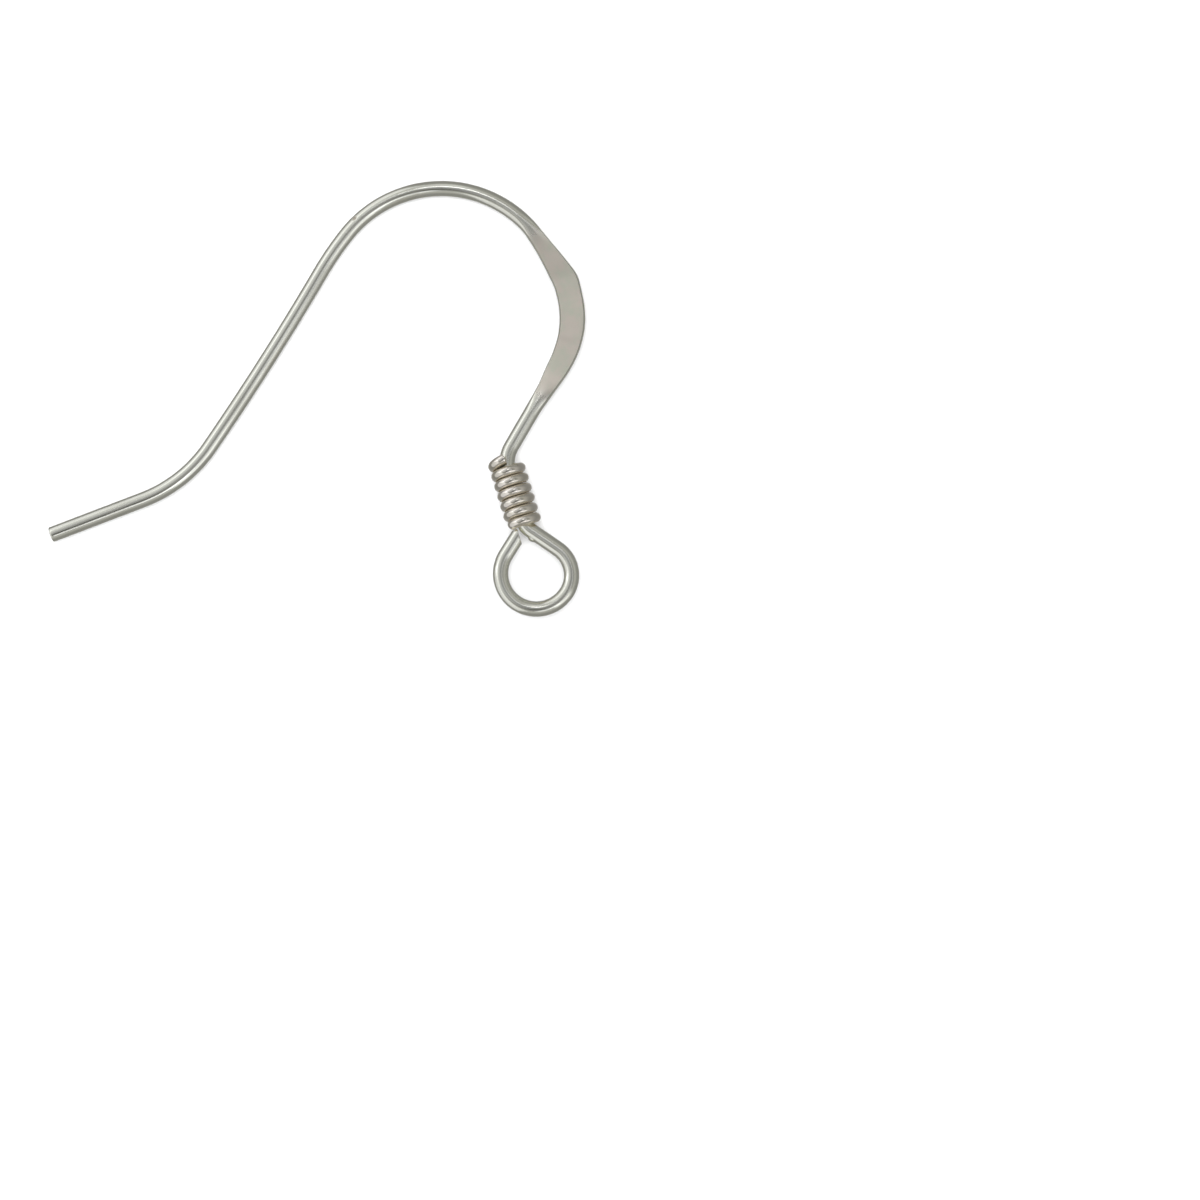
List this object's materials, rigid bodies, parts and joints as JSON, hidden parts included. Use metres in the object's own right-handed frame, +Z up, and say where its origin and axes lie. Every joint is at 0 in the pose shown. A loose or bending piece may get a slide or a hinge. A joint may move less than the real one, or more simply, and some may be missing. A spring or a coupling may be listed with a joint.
{
  "type": "ear wire",
  "caption": "Bent wire hook for a pierced ear, hammered flat down its front, with a close-wound wire collar on its neck and an open teardrop eye for a drop.",
  "frame": {"origin": "middle of the bottom of the bounding box, on the surface that the wire lies on", "axes": "+Z up from the surface, +X along the longest way with the tail's end at -X, +Y from the eye up along the neck"},
  "size_m": [0.0265, 0.0208, 0.0017],
  "materials": {
    "hook_wire": "drawn silver wire, bright with fine drawing lines, frosted where it is hammered flat",
    "coil_wire": "bright silver wire, tarnished brownish in the grooves between the turns"
  },
  "bodies": {
    "root": {"ear_hook": "hook_wire", "neck_coil": "coil_wire"}
  },
  "joints": []
}
